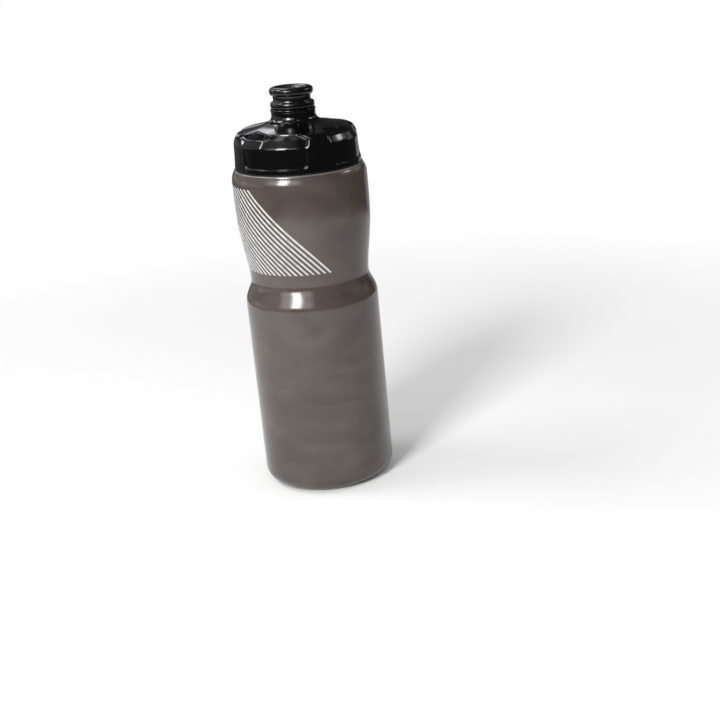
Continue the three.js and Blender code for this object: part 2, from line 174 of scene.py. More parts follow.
# Fillets at the stations 1 to 6, rows of points from one station to the next and round a fillet,
# and how much of the way to the next station a fillet takes
POCKET_FILLETS = (0.15, 0.2, 2.4, 1, 0.25, 0.2)
POCKET_ROWS = (2, 2, 14, 6, 20, 2, 12)
FILLET_ROWS = 6
FILLET_SPAN = 0.1

# Columns of points over a land and the pocket after it
COLUMNS = {"land": 20, "rise": 8, "left": 16, "crease": 7, "right": 28, "fall": 8}

# Values by station: the land's reach to either side in degrees, the width of the pocket's side
# walls, the azimuth of its crease in degrees, and how far the facet before the crease is raised.
# The step's radius goes by the share of the pocket's width.
BEFORE_LAND = [(1, 14.6), (2, 14.3), (2.5, 11.9), (2.8, 10.9), (3, 10.5), (4, 9), (5, 19.8)]
AFTER_LAND = [(1, 13), (2, 12.7), (2.5, 11.3), (2.8, 10), (3, 9), (4, 8), (5, 12.6)]
WALLS = [(2, 1.5), (3, 2.3), (4, 1.9), (5, 1.2)]
CREASE = [(3, 33), (4, 35.2), (4.5, 34.7), (5, 31.2)]
RAISE = [(2.85, 0), (3.15, FACET_RAISE), (4.85, FACET_RAISE), (5.05, 0)]
STEP_RADII = [(0, 23.8), (0.3, 25.9), (0.5, 27.2), (0.7, 28.2), (0.9, 28.6)]

# Meshing
SMOOTH_FACETS = 192
MOUTH_FACETS = 160
SPOUT_FACETS = 128
INSERT_FACETS = 96
ARC_STEP = math.radians(11)
SHARP_EDGE = math.radians(38)
SUPPORT = 0.25
ON_AXIS = 1e-6


def lerp(a, b, share):
    return a + (b - a) * share


def smooth(share):
    share = min(1, max(0, share))
    return share * share * (3 - 2 * share)


def table_at(table, place):
    """Value at a place in a list of (place, value) pairs."""
    if place <= table[0][0]:
        return table[0][1]
    for (p, a), (q, b) in zip(table, table[1:]):
        if place <= q:
            return lerp(a, b, (place - p) / (q - p))
    return table[-1][1]


def polar(radius, azimuth, height):
    return (radius * math.sin(azimuth), -radius * math.cos(azimuth), height)


def rounded(corners, closed=True, steps=None):
    """Outline through (radius, height, fillet) corners. Support points stand before and after each
    fillet, so that smooth shading stays flat along the straight stretches. A set number of steps a
    fillet leaves them out."""
    outline = []
    for i, (radius, height, fillet) in enumerate(corners):
        here = Vector((radius, height))
        if not fillet or (not closed and i in (0, len(corners) - 1)):
            outline.append((radius, height))
            continue
        back = Vector(corners[i - 1][:2]) - here
        ahead = Vector(corners[(i + 1) % len(corners)][:2]) - here
        opening = back.angle(ahead)
        reach = fillet / math.tan(opening / 2)
        start = here + back.normalized() * reach
        end = here + ahead.normalized() * reach
        middle = (back.normalized() + ahead.normalized()).normalized()
        centre = here + middle * (fillet / math.sin(opening / 2))
        turn = math.pi - opening
        count = steps or max(2, math.ceil(turn / ARC_STEP))
        if not steps and back.length > reach + 2 * SUPPORT:
            outline.append(tuple(start + back.normalized() * SUPPORT))
        for k in range(count + 1):
            share = k / count
            spoke = (start - centre) * math.sin((1 - share) * turn)
            spoke += (end - centre) * math.sin(share * turn)
            outline.append(tuple(centre + spoke / math.sin(turn)))
        if not steps and ahead.length > reach + 2 * SUPPORT:
            outline.append(tuple(end + ahead.normalized() * SUPPORT))
    return outline


def moved(point, offset):
    return point[0] + offset[0], point[1] + offset[1]


def bezier(a, b, c, d, steps):
    """Points of a cubic curve, without its first point."""
    points = []
    for i in range(1, steps + 1):
        t = i / steps
        weights = ((1 - t) ** 3, 3 * t * (1 - t) ** 2, 3 * t * t * (1 - t), t ** 3)
        points.append(tuple(sum(w * p[k] for w, p in zip(weights, (a, b, c, d))) for k in range(2)))
    return points


def arc(centre, across, along, first, last, steps):
    """Points of an elliptic arc from one angle to another."""
    return [
        (
            centre[0] + across * math.cos(lerp(first, last, i / steps)),
            centre[1] + along * math.sin(lerp(first, last, i / steps)),
        )
        for i in range(steps + 1)
    ]


def grid_faces(rows, columns, wrap_rows=True):
    """Faces of a grid of points whose columns close on themselves, and its rows if asked."""
    faces = []
    for i in range(rows if wrap_rows else rows - 1):
        for k in range(columns):
            a, b = i * columns + k, i * columns + (k + 1) % columns
            up = ((i + 1) % rows) * columns - i * columns
            faces.append((a, b, b + up, a + up))
    return faces


def lathe(outline, facets=SMOOTH_FACETS):
    """Points and faces of an outline turned about the axis. It closes on itself or on the axis."""
    points, rings = [], []
    for radius, height in outline:
        if abs(radius) < ON_AXIS:
            rings.append([len(points)] * facets)
            points.append((0, 0, height))
        else:
            rings.append(list(range(len(points), len(points) + facets)))
            points += [polar(radius, TURN * k / facets, height) for k in range(facets)]
    on_axis = abs(outline[0][0]) < ON_AXIS
    pairs = list(zip(rings, rings[1:])) + ([] if on_axis else [(rings[-1], rings[0])])
    faces = []
    for low, high in pairs:
        for k in range(facets):
            n = (k + 1) % facets
            face = list(dict.fromkeys((low[k], low[n], high[n], high[k])))
            if len(face) > 2:
                faces.append(face)
    return points, faces


def thread_ridge(root, crest, start, turn):
    """Points and faces of a helical ridge from one radius to another, fading out at its ends."""
    sunk = root + math.copysign(THREAD_SUNK, root - crest)
    wide, narrow = THREAD_ROOT / 2, THREAD_CREST / 2
    steps = round(THREAD_TURNS * THREAD_STEPS)
    points = []
    for i in range(steps + 1):
        here = turn + THREAD_TURNS * i / steps
        fade = smooth(min(i, steps - i) / THREAD_FADE)
        tip = lerp(root, crest, max(fade, THREAD_THINNEST))
        section = (
            (sunk, -wide), (root, -wide), (tip, -narrow), (tip, narrow), (root, wide), (sunk, wide),
        )
        points += [polar(r, here * TURN, start + THREAD_PITCH * here + h) for r, h in section]
    sides = len(section)
    faces = grid_faces(steps + 1, sides, wrap_rows=False)
    faces.append(tuple(range(sides)))
    faces.append(tuple(range(steps * sides, (steps + 1) * sides)))
    return points, faces


def add_object(name, data):
    piece = bpy.data.objects.new(name, data)
    bpy.context.scene.collection.objects.link(piece)
    return piece


def add_mesh(name, points, faces, lift=0):
    """A new object from millimetre points, with its faces turned outwards."""
    mesh = bpy.data.meshes.new(name)
    mesh.from_pydata([(x * MM, y * MM, (z + lift) * MM) for x, y, z in points], [], faces)
    shape = bmesh.new()
    shape.from_mesh(mesh)
    bmesh.ops.recalc_face_normals(shape, faces=shape.faces)
    shape.to_mesh(mesh)
    shape.free()
    return add_object(name, mesh)


def unite(piece, others):
    """Joins closed pieces into one closed surface."""
    for other in others:
        joint = piece.modifiers.new("joint", "BOOLEAN")
        joint.operation = "UNION"
        joint.solver = "EXACT"
        joint.object = other
    bpy.context.view_layer.update()
    graph = bpy.context.evaluated_depsgraph_get()
    united = bpy.data.meshes.new_from_object(piece.evaluated_get(graph))
    piece.modifiers.clear()
    piece.data = united
    for other in others:
        bpy.data.objects.remove(other)


def finish_piece(piece, material, body, *replaced):
    """Dresses a piece, lets it ride on its body, and hides the CAD nodes that it replaces."""
    mesh = piece.data
    mesh.materials.clear()
    mesh.materials.append(material)
    mesh.shade_smooth()
    mesh.set_sharp_from_angle(angle=SHARP_EDGE)
    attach(piece, body)
    if replaced:
        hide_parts(*replaced)


# Materials

def new_material(name, color, roughness, **sockets):
    """A plastic, rubber or ink. Its plain colour and roughness are about the mean of the noise that
    may be linked later. Further sockets are set by their names with underscores."""
    material = bpy.data.materials.new(name)
    material.use_nodes = True
    shader = material.node_tree.nodes["Principled BSDF"]
    shader.inputs["Base Color"].default_value = (*color, 1)
    shader.inputs["Roughness"].default_value = roughness
    for socket, value in sockets.items():
        shader.inputs[socket.replace("_", " ")].default_value = value
    return material, material.node_tree.nodes, material.node_tree.links, shader


def noise(nodes, links, scale, detail=3, stretch=(1, 1, 1), distortion=0):
    """A noise in the piece's own space. The scale is in features per metre."""
    place = nodes.new("ShaderNodeTexCoord")
    stretched = nodes.new("ShaderNodeMapping")
    stretched.inputs["Scale"].default_value = stretch
    texture = nodes.new("ShaderNodeTexNoise")
    texture.inputs["Scale"].default_value = scale
    texture.inputs["Detail"].default_value = detail
    texture.inputs["Distortion"].default_value = distortion
    links.new(place.outputs["Object"], stretched.inputs["Vector"])
    links.new(stretched.outputs["Vector"], texture.inputs["Vector"])
    return texture.outputs["Fac"]


def spread(nodes, links, value, low, high, from_low=0.35, from_high=0.65):
    """Maps a value to a range. The defaults take in most of a noise."""
    ranged = nodes.new("ShaderNodeMapRange")
    ranged.inputs["From Min"].default_value = from_low
    ranged.inputs["From Max"].default_value = from_high
    ranged.inputs["To Min"].default_value = low
    ranged.inputs["To Max"].default_value = high
    links.new(value, ranged.inputs["Value"])
    return ranged.outputs["Result"]


def blend(nodes, links, factor, first, second):
    """A colour between two, by a factor from 0 to 1. The two are sockets or colours."""
    mix = nodes.new("ShaderNodeMix")
    mix.data_type = "RGBA"
    links.new(factor, mix.inputs["Factor"])
    for socket, value in (("A", first), ("B", second)):
        if isinstance(value, tuple):
            mix.inputs[socket].default_value = (*value, 1)
        else:
            links.new(value, mix.inputs[socket])
    return mix.outputs["Result"]


def compute(nodes, links, operation, *values):
    """A math node. Its values are sockets or numbers."""
    node = nodes.new("ShaderNodeMath")
    node.operation = operation
    for socket, value in zip(node.inputs, values):
        if isinstance(value, (int, float)):
            socket.default_value = value
        else:
            links.new(value, socket)
    return node.outputs["Value"]


def bumps(nodes, links, shader, layers):
    """Stacks (height, strength, distance in metres) layers of bump."""
    normal = None
    for height, strength, distance in layers:
        bump = nodes.new("ShaderNodeBump")
        bump.inputs["Strength"].default_value = strength
        bump.inputs["Distance"].default_value = distance
        links.new(height, bump.inputs["Height"])
        if normal:
            links.new(normal, bump.inputs["Normal"])
        normal = bump.outputs["Normal"]
    links.new(normal, shader.inputs["Normal"])


# Heights over which the painted highlight along the ledge's edge fades in and out
RIM_HIGHLIGHT_FADE_IN = 0.3 * MM
RIM_HIGHLIGHT_FADE_OUT = 0.1 * MM


def smoke_plastic():
    """Translucent smoke-coloured polyethylene with a satin gloss and faint flow marks, with a
    painted highlight: a paler colour in a band along the ledge's rounded edge."""
    material, nodes, links, shader = new_material(
        "smoke_plastic", (0.092, 0.073, 0.062), 0.16, Transmission_Weight=0.3, IOR=1.53,
    )
    flow = noise(nodes, links, scale=22, detail=2, stretch=(1, 1, 2.2), distortion=1.2)
    mottle = spread(nodes, links, flow, 0, 1)
    cloudy = blend(nodes, links, mottle, (0.076, 0.0595, 0.0505), (0.109, 0.086, 0.073))
    place = nodes.new("ShaderNodeTexCoord")
    axes = nodes.new("ShaderNodeSeparateXYZ")
    links.new(place.outputs["Object"], axes.inputs["Vector"])
    height = axes.outputs["Z"]
    # A painted highlight: the colour turns paler in a band along the ledge's rounded edge, where
    # light catches it.
    foot = (LEDGE_HEIGHT - LEDGE_EDGE) * MM
    top = LEDGE_HEIGHT * MM + RIM_HIGHLIGHT_FADE_OUT
    above = spread(nodes, links, height, 0, 1, foot, foot + RIM_HIGHLIGHT_FADE_IN)
    below = spread(nodes, links, height, 1, 0, top, top + RIM_HIGHLIGHT_FADE_OUT)
    rim = compute(nodes, links, "MULTIPLY", above, below)
    color = blend(nodes, links, rim, cloudy, (0.2, 0.184, 0.172))
    links.new(color, shader.inputs["Base Color"])
    grain = noise(nodes, links, scale=900)
    peel = noise(nodes, links, scale=60, detail=2)
    links.new(spread(nodes, links, grain, 0.15, 0.165), shader.inputs["Roughness"])
    bumps(nodes, links, shader, [(peel, 0.04, 0.0003)])
    return material


def gloss_black():
    """Injection-moulded black plastic: a mirror gloss, slight orange peel and fine scratches."""
    material, nodes, links, shader = new_material(
        "gloss_black", (0.002, 0.002, 0.0022), 0.12, IOR=1.5,
    )
    peel = noise(nodes, links, scale=220, detail=2)
    handling = noise(nodes, links, scale=45, detail=4)
    scratches = noise(nodes, links, scale=300, stretch=(1, 1, 14))
    links.new(spread(nodes, links, handling, 0.09, 0.14), shader.inputs["Roughness"])
    bumps(nodes, links, shader, [(peel, 0.05, 0.0001), (scratches, 0.03, 0.00005)])
    return material


def satin_black():
    """Soft mouthpiece rubber with a satin finish."""
    material, nodes, links, shader = new_material(
        "satin_black", (0.003, 0.003, 0.0031), 0.19, IOR=1.5,
    )
    grain = noise(nodes, links, scale=1800, detail=2)
    wear = noise(nodes, links, scale=60)
    links.new(spread(nodes, links, wear, 0.18, 0.21), shader.inputs["Roughness"])
    bumps(nodes, links, shader, [(grain, 0.03, 0.00003)])
    return material


def moulded_black():
    """Hard black plastic of the sleeve and the post."""
    material, nodes, links, shader = new_material(
        "moulded_black", (0.004, 0.004, 0.0042), 0.24, IOR=1.5,
    )
    peel = noise(nodes, links, scale=500, detail=2)
    links.new(spread(nodes, links, peel, 0.18, 0.3), shader.inputs["Roughness"])
    bumps(nodes, links, shader, [(peel, 0.08, 0.00005)])
    return material


def seal_rubber():
    """Matte grey silicone of the seal ring and the O-ring."""
    material, nodes, links, shader = new_material("seal_rubber", (0.05, 0.05, 0.053), 0.6, IOR=1.42)
    grain = noise(nodes, links, scale=2200, detail=2)
    links.new(spread(nodes, links, grain, 0.52, 0.68), shader.inputs["Roughness"])
    bumps(nodes, links, shader, [(grain, 0.15, 0.00004)])
    return material


def white_ink():
    """Screen-printed ink, a little thinner in places."""
    material, nodes, links, shader = new_material("white_ink", (0.5, 0.5, 0.49), 0.42, IOR=1.45)
    cover = noise(nodes, links, scale=350, detail=4)
    worn = spread(nodes, links, cover, 0, 1, from_low=0.3, from_high=0.55)
    color = blend(nodes, links, worn, (0.39, 0.385, 0.38), (0.54, 0.54, 0.53))
    links.new(color, shader.inputs["Base Color"])
    bumps(nodes, links, shader, [(cover, 0.1, 0.00003)])
    return material


# Body

def body_radius_at(height):
    """Outer radius between the base's corner and the shoulder."""
    if height <= LOWER_HEIGHT:
        return BODY_RADIUS
    if height <= WAIST_HEIGHT:
        share = (height - LOWER_HEIGHT) / WAIST_STEP
        return BODY_RADIUS - WAIST_DEPTH * (1 - math.cos(math.pi * share)) / 2
    if height <= SHOULDER_HEIGHT:
        share = (SHOULDER_HEIGHT - height) / TAPER_HEIGHT
        bulge = share ** TAPER_POWER * (TAPER_POWER + 1 - TAPER_POWER * share)
        return BODY_RADIUS - WAIST_DEPTH * bulge
    share = (height - SHOULDER_HEIGHT) / (LEDGE_HEIGHT - LEDGE_EDGE - SHOULDER_HEIGHT)
    return BODY_RADIUS - LEDGE_INSET * share ** SHOULDER_POWER


def body_outline():
    """The body's whole outline: up the outside from the dish, and down the inside."""
    heights = [BASE_CORNER]
    for low, high, spacing in WALL_STRETCHES:
        count = round((high - low) / spacing)
        heights += [lerp(low, high, i / count) for i in range(1, count + 1)]
    dish = [
        (DISH_RADIUS * share, DISH_DEPTH * (1 + math.cos(math.pi * share)) / 2)
        for share in (i / DISH_RINGS for i in range(DISH_RINGS + 1))
    ]
    corner = (BODY_RADIUS - BASE_CORNER, BASE_CORNER)
    edge = (LEDGE_RADIUS - LEDGE_EDGE, LEDGE_HEIGHT - LEDGE_EDGE)
    outside = dish + arc(corner, BASE_CORNER, BASE_CORNER, -math.pi / 2, 0, steps=14)
    outside += [(body_radius_at(height), height) for height in heights[1:-1]]
    outside += arc(edge, LEDGE_EDGE, LEDGE_EDGE, 0, math.pi / 2, steps=6)
    neck = rounded([
        (edge[0], LEDGE_HEIGHT, 0),
        (NECK_RADIUS, LEDGE_HEIGHT, NECK_FILLET),
        (NECK_RADIUS, NECK_TOP, LIP_EDGE),
        (MOUTH_RADIUS, NECK_TOP, LIP_EDGE),
        (MOUTH_RADIUS, LEDGE_HEIGHT + LEDGE_WALL, 0),
    ], closed=False)[1:]
    width = BODY_RADIUS - BODY_WALL - MOUTH_RADIUS
    rise = LEDGE_HEIGHT - LEDGE_WALL - SHOULDER_HEIGHT
    steps = 14
    inside = [
        (
            MOUTH_RADIUS + width * math.sin(angle) ** INSIDE_POWER,
            SHOULDER_HEIGHT + rise * math.cos(angle) ** INSIDE_POWER,
        )
        for angle in (math.pi / 2 * i / steps for i in range(steps + 1))
    ]
    lower = [height for height in heights[1:] if height < SHOULDER_HEIGHT]
    inside += [(body_radius_at(height) - BODY_WALL, height) for height in reversed(lower)]
    inside += arc(
        corner, BASE_CORNER - BODY_WALL, BASE_CORNER - BODY_FLOOR, 0, -math.pi / 2, steps=10,
    )
    inside += [(radius, height + BODY_FLOOR) for radius, height in reversed(dish)]
    return outside + neck + inside


def make_body(material):
    piece = add_mesh("bottle_shell", *lathe(body_outline()))
    ridge = add_mesh(
        "neck_thread", *thread_ridge(NECK_RADIUS, NECK_RADIUS + THREAD_DEPTH, NECK_THREAD_START, 0),
    )
    unite(piece, [ridge])
    finish_piece(piece, material, "bottle", "bottle_body")


# Printed stripes. The lean is in millimetres along the wall for each millimetre of height.

STRIPE_COUNT = 24
STRIPE_PITCH = 3.45
STRIPE_WIDTH = 1.45
STRIPE_TOP = 175.2
STRIPE_FOOT = 128
STRIPE_LEAN = 0.947
STRIPE_EDGE = -32.4
STRIPE_STEPS = 90
STRIPE_STRIPS = 4
INK_RISE = 0.05


def make_stripes(material):
    """Slanting bars that wrap the left of the front. Each is a thin closed slab on the wall."""
    points, faces = [], []
    half = STRIPE_WIDTH / 2
    sides = [lerp(-half, half, k / STRIPE_STRIPS) for k in range(STRIPE_STRIPS + 1)]
    ring = 2 * len(sides)
    for stripe in range(STRIPE_COUNT):
        start = STRIPE_EDGE - stripe * STRIPE_PITCH
        first = len(points)
        for i in range(STRIPE_STEPS + 1):
            height = lerp(STRIPE_TOP, STRIPE_FOOT, i / STRIPE_STEPS)
            radius = body_radius_at(height)
            middle = start + STRIPE_LEAN * (STRIPE_TOP - height)
            for rise, order in ((INK_RISE, sides), (-INK_RISE, reversed(sides))):
                points += [
                    polar(radius + rise, (middle + side) / BODY_RADIUS, height) for side in order
                ]
        last = first + STRIPE_STEPS * ring
        walls = grid_faces(STRIPE_STEPS + 1, ring, wrap_rows=False)
        faces += [tuple(first + corner for corner in wall) for wall in walls]
        faces += [tuple(range(first, first + ring)), tuple(range(last, last + ring))]
    piece = add_mesh("stripe_print", points, faces)
    finish_piece(piece, material, "bottle")


# Lid

def dome_at(radius):
    """The dome's height: a cone that steepens towards the spout's neck."""
    share = (DOME_RADIUS - radius) / (DOME_RADIUS - SPOUT_NECK_RADIUS)
    return DOME_FOOT + DOME_RISE * (DOME_CONE * share + (1 - DOME_CONE) * share ** DOME_POWER)


def skirt_radius(height):
    return LID_RADIUS - LID_DRAFT * height / SKIRT_HEIGHT


def land_curve():
    """Fine points of the lid's outline over a land, from the skirt to the dome's inner part, as
    (length so far, radius, height)."""
    shoulder = (skirt_radius(SKIRT_HEIGHT), SKIRT_HEIGHT)
    edge = (DOME_RADIUS, DOME_FOOT)
    steps = 132
    skirt = (lerp(RIM_EDGE, SKIRT_HEIGHT, i / steps) for i in range(steps + 1))
    outline = [(skirt_radius(height), height) for height in skirt]
    first, second = SHOULDER_HANDLES
    outline += bezier(shoulder, moved(shoulder, first), moved(edge, second), edge, steps=120)
    steps = 80
    dome = (lerp(DOME_RADIUS, DOME_INNER, i / steps) for i in range(1, steps + 1))
    outline += [(radius, dome_at(radius)) for radius in dome]
    length, points = 0, []
    for i, point in enumerate(outline):
        length += math.dist(point, outline[i - 1]) if i else 0
        points.append((length, *point))
    return points


LAND = land_curve()


def land_at(length):
    """Radius and height at a length along the land's outline."""
    i = min(len(LAND) - 1, max(1, bisect.bisect_left(LAND, (length,))))
    low, high = LAND[i - 1], LAND[i]
    share = (length - low[0]) / (high[0] - low[0])
    return lerp(low[1], high[1], share), lerp(low[2], high[2], share)


def land_length(radius):
    """Length along the land's outline where it reaches a radius on its shoulder or dome."""
    return next(length for length, r, height in LAND if r <= radius and height > SKIRT_HEIGHT)


def pocket_outline(step_radius):
    """The pocket's outline as (station, radius, height), always with the same stations."""
    corners = [
        (skirt_radius(POCKET_FOOT), POCKET_FOOT),
        (PANEL_RADIUS + PANEL_LEAN, PANEL_FOOT),
        (PANEL_RADIUS, PANEL_TOP),
        CHAMFER_TOP,
        (step_radius + STEP_LEAN, dome_at(step_radius) - STEP_HEIGHT),
        (step_radius, dome_at(step_radius)),
    ]
    corners = [
        (skirt_radius(POCKET_START), POCKET_START, 0),
        *((*corner, fillet) for corner, fillet in zip(corners, POCKET_FILLETS)),
        (DOME_INNER, dome_at(DOME_INNER), 0),
    ]
    points = rounded(corners, closed=False, steps=FILLET_ROWS)
    outline = []
    for i, count in enumerate(POCKET_ROWS):
        first = i * (FILLET_ROWS + 1)
        start, end = points[first], points[first + 1]
        for share in (k / count for k in range(count)):
            station = i + lerp(FILLET_SPAN, 1 - FILLET_SPAN, share)
            outline.append((station, lerp(start[0], end[0], share), lerp(start[1], end[1], share)))
        if i < len(POCKET_ROWS) - 1:
            outline += [
                (i + 1 - FILLET_SPAN + 2 * FILLET_SPAN * k / FILLET_ROWS, *points[first + 1 + k])
                for k in range(FILLET_ROWS)
            ]
    outline.append((len(POCKET_ROWS), *points[-1]))
    return outline


def land_lengths(outline, step_radius):
    """Where each station of the pocket's outline lies along the land's outline: at the nearest
    point up to the chamfer's top, and shared out over the dome from there."""
    lengths, last = [], 0
    turn = next(i for i, row in enumerate(outline) if row[0] > 4)
    for _, radius, height in outline[:turn]:
        last = min(range(last, len(LAND)), key=lambda i: math.dist(LAND[i][1:], (radius, height)))
        lengths.append(LAND[last][0])
    marks = [
        (4, lengths[-1]), (5, land_length(step_radius + STEP_LEAN)), (6, land_length(step_radius)),
        (7, LAND[-1][0]),
    ]
    return lengths + [table_at(marks, row[0]) for row in outline[turn:]]


def lid_columns():
    """One land and the pocket after it, as (part, share of the part, step radius)."""
    columns = []
    pocket = sum(COLUMNS[part] for part in ("left", "crease", "right"))
    done = 0
    for part, count in COLUMNS.items():
        for k in range(count):
            if part == "land":
                radius = lerp(STEP_RADII[-1][1], STEP_RADII[0][1], smooth(k / count))
            elif part in ("rise", "fall"):
                radius = STEP_RADII[0 if part == "rise" else -1][1]
            else:
                radius = table_at(STEP_RADII, done / pocket)
                done += 1
            columns.append((part, k / count, radius))
    return columns


def lid_column(part, share, step_radius):
    """Points up one column of the lid's outside, as (azimuth from the land's centre, radius,
    height). Depth goes from 0 on the land to 1 in the pocket, and a lifted facet is raised outwards
    and upwards alike."""
    outline = pocket_outline(step_radius)
    half_crease = math.degrees(CREASE_WIDTH / LID_RADIUS / 2)
    points = []
    for (station, radius, height), length in zip(outline, land_lengths(outline, step_radius)):
        before = 360 / POCKETS - table_at(BEFORE_LAND, station)
        after = table_at(AFTER_LAND, station)
        drop = POCKET_CORNER - (height - POCKET_FOOT)
        if 0 < drop <= POCKET_CORNER:
            widening = (POCKET_CORNER - math.sqrt(POCKET_CORNER ** 2 - drop ** 2)) / LID_RADIUS
            before -= math.degrees(widening)
            after += math.degrees(widening)
        wall = math.degrees(table_at(WALLS, station) / LID_RADIUS)
        crease = table_at(CREASE, station)
        lift, depth = 0, 1
        if part == "land":
            azimuth, depth = lerp(before - 360 / POCKETS, after, share), 0
        elif part == "rise":
            azimuth, depth, lift = after + wall * share, smooth(share), smooth(share)
        elif part == "left":
            azimuth, lift = lerp(after + wall, crease - half_crease, share), 1
        elif part == "crease":
            azimuth, lift = crease + half_crease * (2 * share - 1), 1 - smooth(share)
        elif part == "right":
            azimuth = lerp(crease + half_crease, before - wall, share)
        else:
            azimuth, depth = before - wall + wall * share, 1 - smooth(share)
        lift *= table_at(RAISE, station) * math.sqrt(0.5)
        land = land_at(length)
        points.append((
            math.radians(azimuth),
            lerp(land[0], radius + lift, depth),
            lerp(land[1], height + lift, depth),
        ))
    return points


def lid_top_outline():
    """Round rows from the dome's inner part up the spout neck, and back down the inside."""
    steps = 10
    dome = (lerp(DOME_INNER, FLARE_RADIUS, i / steps) for i in range(1, steps + 1))
    dome = [(radius, dome_at(radius)) for radius in dome]
    delta = 0.1
    slope = (dome_at(FLARE_RADIUS - delta) - dome_at(FLARE_RADIUS)) / delta
    flare = bezier(
        dome[-1], moved(dome[-1], (-FLARE_REACH, FLARE_REACH * slope)),
        (SPOUT_NECK_RADIUS, FLARE_TOP - FLARE_RISE), (SPOUT_NECK_RADIUS, FLARE_TOP), steps=18,
    )
    bead = LID_TOP - BEAD_HEIGHT
    rest = rounded([
        (SPOUT_NECK_RADIUS, FLARE_TOP, 0),
        (SPOUT_NECK_RADIUS, bead, 0.5),
        (SPOUT_NECK_RADIUS + BEAD, bead + BEAD_SLOPE, 0.4),
        (SPOUT_NECK_RADIUS + BEAD, LID_TOP, 0.45),
        (BORE_LIP_RADIUS, LID_TOP, 0.3),
        (BORE_LIP_RADIUS, BORE_LIP_FOOT, 0.2),
        (BORE_RADIUS, BORE_LIP_FOOT, 0.2),
        (BORE_RADIUS, BORE_FOOT, 0.3),
        (BORE_TUBE_RADIUS, BORE_FOOT, 0.3),
        (BORE_TUBE_RADIUS, dome_at(FLARE_RADIUS) - ROOF_WALL, 0.6),
        (ROOF_EDGE, dome_at(ROOF_EDGE) - ROOF_WALL - ROOF_THICKENING, 0),
        (SEAT_RADIUS - SEAT_WIDTH, SEAT_HEIGHT, SEAT_EDGE),
        (SEAT_RADIUS, SEAT_HEIGHT, SEAT_EDGE),
        (SEAT_RADIUS, SEAT_HEIGHT - SEAT_WALL, 0),
        (LID_BORE, SEAT_HEIGHT - SEAT_WALL - SEAT_LEAD, SEAT_EDGE),
        (LID_BORE, RIM_EDGE, 0),
        (LID_BORE + RIM_EDGE, 0, 0.1),
        (LID_RADIUS, 0, RIM_EDGE),
        (skirt_radius(SKIRT_START), SKIRT_START, 0),
    ], closed=False)
    return dome + flare + rest[1:-1]


def make_lid(material):
    columns = [lid_column(*column) for column in lid_columns()]
    rows = list(zip(*columns))
    rows += [[(azimuth, *point) for azimuth, _, _ in rows[-1]] for point in lid_top_outline()]
    points = []
    for row in rows:
        for sector in range(POCKETS):
            centre = math.radians(LAND_CENTRE) + sector * TURN / POCKETS
            points += [polar(radius, centre + azimuth, height) for azimuth, radius, height in row]
    faces = grid_faces(len(rows), len(columns) * POCKETS)
    piece = add_mesh("lid_shell", points, faces, LID_FOOT)
    ridge = add_mesh(
        "lid_thread",
        *thread_ridge(LID_BORE, LID_BORE - THREAD_DEPTH, LID_THREAD_START, LID_THREAD_TURN),
        LID_FOOT,
    )
    unite(piece, [ridge])
    finish_piece(piece, material, "lid", "cap_shell")


def make_seal(material):
    low, high = seal_low.z / MM, seal_high.z / MM
    outer = seal_high.x / MM
    inner = outer - SEAL_WIDTH
    corners = ((outer, low), (outer, high), (inner, high), (inner, low))
    outline = rounded([(*corner, SEAL_EDGE) for corner in corners])
    piece = add_mesh("seal_ring", *lathe(outline))
    finish_piece(piece, material, "seal", "lid_gasket")


# Post insert and spout

INSERT_FOOT = 12.0
INSERT_TOP = 16.5
INSERT_HOLE = 8.2
INSERT_RADIUS = 10.0
INSERT_FLANGE = 1.2
POST_RADIUS = 2.6
PLUG_RADIUS = 3.2
PLUG_HEIGHT = 2.6
PLUG_FLARE = 0.6
PLUG_TOP = post_high.z / MM - LID_FOOT
DIMPLE_RADIUS = 1.2
DIMPLE_FLOOR = 0.7
DIMPLE_DEPTH = 0.3
SPOKES = 3
SPOKE_WIDTH = 1.8
SPOKE_DROP = 0.2
SPOKE_EDGE = 0.25
MOULD_EDGE = 0.2

SLEEVE_FOOT = 16.8
SLEEVE_TOP = 39.0
SLEEVE_RADIUS = 8.95
SLEEVE_BORE = 6.85
COLLAR_RADIUS = 9.95
COLLAR_HEIGHT = 1.2
GROOVE_RADIUS = 8.15
GROOVE_HEIGHT = 1.8
BARB = 0.8
BARB_HEIGHT = 2
BARB_EDGE = 0.1
SLEEVE_EDGE = 0.3
ORING_SECTION = 1.5
ORING_CLEAR = 0.15

MOUTH_FOOT = mouth_low.z / MM - LID_FOOT
MOUTH_TOP = mouth_high.z / MM - LID_FOOT
FLANGE_RADIUS = mouth_high.x / MM
FLANGE_THICK = 3.4
FLANGE_ROUND = 1.25
FLANGE_POWERS = (0.6, 0.7)
WAIST_RADIUS = 10.1
WAIST_TURN = 0.25
HEAD_RADIUS = 11.85
HEAD_HEIGHT = 4.6
HEAD_MIDDLE = 0.54
RIM_RADIUS = 9.4
MOUTH_DISH = 1.2
HOLE_RADIUS = 3.5
HOLE_TURN = 0.35
HOLE_DROP = 0.1
MOUTH_BORE = 9.25
MOUTH_ROOF = 39.3
BARB_CLEAR = 0.3

# The line round the head, as (depth, height from the head's middle) with where it starts, and the
# angle at which the rounding above it goes on
HEAD_LINE_FOOT = -0.35
HEAD_LINE = ((0.05, -0.1), (0.01, 0.2))
OVER_START = 0.12

# Handles of the mouthpiece's curves, as (radius, height): the waist's from the flange and from the
# head's foot, those under the head from its foot and its middle, and the dish's from rim and hole
WAIST_HANDLES = ((-0.05, 0.15), (0, -1.2))
UNDER_HANDLES = ((1.1, 0.15), (0, -1.3))
DISH_HANDLES = ((-1.6, 0), (2.2, 0.1))


